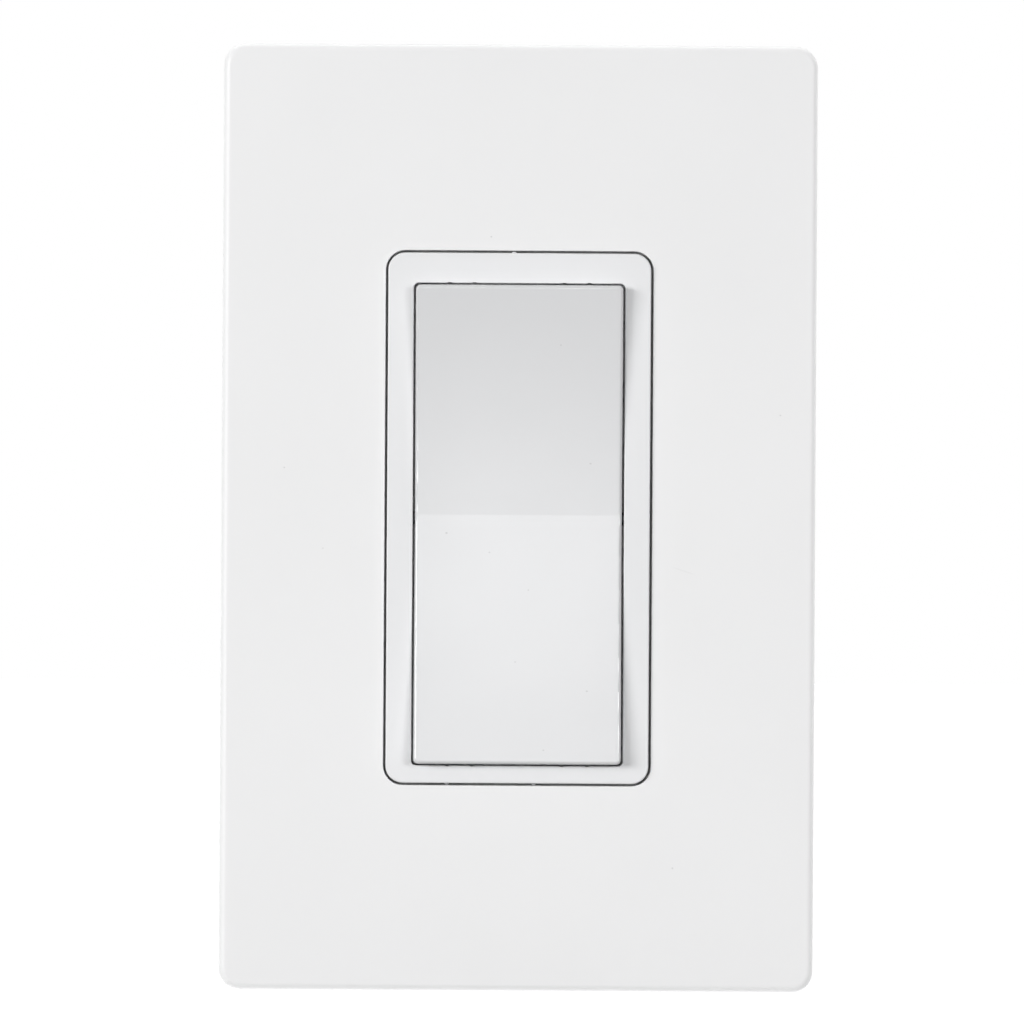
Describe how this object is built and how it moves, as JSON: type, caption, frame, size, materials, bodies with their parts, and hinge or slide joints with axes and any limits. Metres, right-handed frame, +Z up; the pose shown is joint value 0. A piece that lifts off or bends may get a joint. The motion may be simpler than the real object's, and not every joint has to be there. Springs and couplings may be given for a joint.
{
  "type": "wireless remote wall switch",
  "caption": "Surface-mounted battery remote in the form of a wall switch: a spring-centred rocker in a raised frame and a screwless clip-on wall plate.",
  "frame": {"origin": "middle of the back face, which lies on the wall", "axes": "+Z up the wall, +Y into the wall, so the front looks along -Y, +X to the right as seen from the front"},
  "size_m": [0.0746, 0.0164, 0.119],
  "materials": {
    "plate_white": "satin white moulded plastic",
    "frame_white": "satin white moulded plastic",
    "rocker_white": "glossy white moulded plastic",
    "case_white": "white moulded plastic",
    "bracket_white": "white moulded plastic",
    "pad_foam": "white foam with a liner",
    "zinc_steel": "zinc plated",
    "black_steel": "black oxide",
    "spring_steel": "drawn wire",
    "board_green": "solder resist",
    "black_plastic": "moulded",
    "stem_plastic": "moulded",
    "tinned_steel": "tinned sheet",
    "contact_brass": "plated sheet",
    "chip_ceramic": "ceramic chip",
    "nickel_strip": "nickel plated strip",
    "cell_steel": "nickel plated can",
    "button_grey": "moulded"
  },
  "bodies": {
    "base": {"wall_bracket": "bracket_white", "adhesive_pads": "pad_foam", "wall_plate": "plate_white", "bezel_frame": "frame_white", "rear_case": "case_white", "case_screws": "zinc_steel", "module_screws": "zinc_steel", "pivot_rod": "black_steel", "return_spring_upper": "spring_steel", "return_spring_lower": "spring_steel", "circuit_board": "board_green", "tact_switch_upper": "black_plastic", "tact_switch_lower": "black_plastic", "microcontroller": "black_plastic", "shield_can": "tinned_steel", "crystal": "tinned_steel", "antenna": "contact_brass", "chip_parts": "chip_ceramic", "battery_holder": "black_plastic", "battery_contact_positive": "nickel_strip", "battery_contact_negative": "nickel_strip", "coin_cell": "cell_steel", "pairing_switch": "black_plastic"},
    "rocker": {"rocker_paddle": "rocker_white"},
    "stem_upper": {"tact_stem_upper": "stem_plastic"},
    "stem_lower": {"tact_stem_lower": "stem_plastic"},
    "pairing_cap": {"pairing_button": "button_grey"},
    "pairing_plunger": {"pairing_stem": "stem_plastic"}
  },
  "joints": [
    {"name": "rocker_tilt", "type": "hinge", "parent": "base", "child": "rocker", "pos_m": [0, -0.0123, 0], "axis": [1, 0, 0], "range_deg": [-2, 2], "stiffness_Nm_per_rad": 0.4, "deforming": ["return_spring_upper", "return_spring_lower"]},
    {"name": "upper_stem_press", "type": "slide", "parent": "base", "child": "stem_upper", "axis": [0, 1, 0], "range_m": [0, 0.00025], "stiffness_N_per_m": 400},
    {"name": "lower_stem_press", "type": "slide", "parent": "base", "child": "stem_lower", "axis": [0, 1, 0], "range_m": [0, 0.00025], "stiffness_N_per_m": 400},
    {"name": "pairing_press", "type": "slide", "parent": "base", "child": "pairing_cap", "axis": [0, -1, 0], "range_m": [0, 0.00025], "stiffness_N_per_m": 300},
    {"name": "pairing_stem_press", "type": "slide", "parent": "base", "child": "pairing_plunger", "axis": [0, -1, 0], "range_m": [0, 0.00025]}
  ],
  "couplings": [
    {"joint": "pairing_stem_press", "follows": "pairing_press", "ratio": 1}
  ]
}
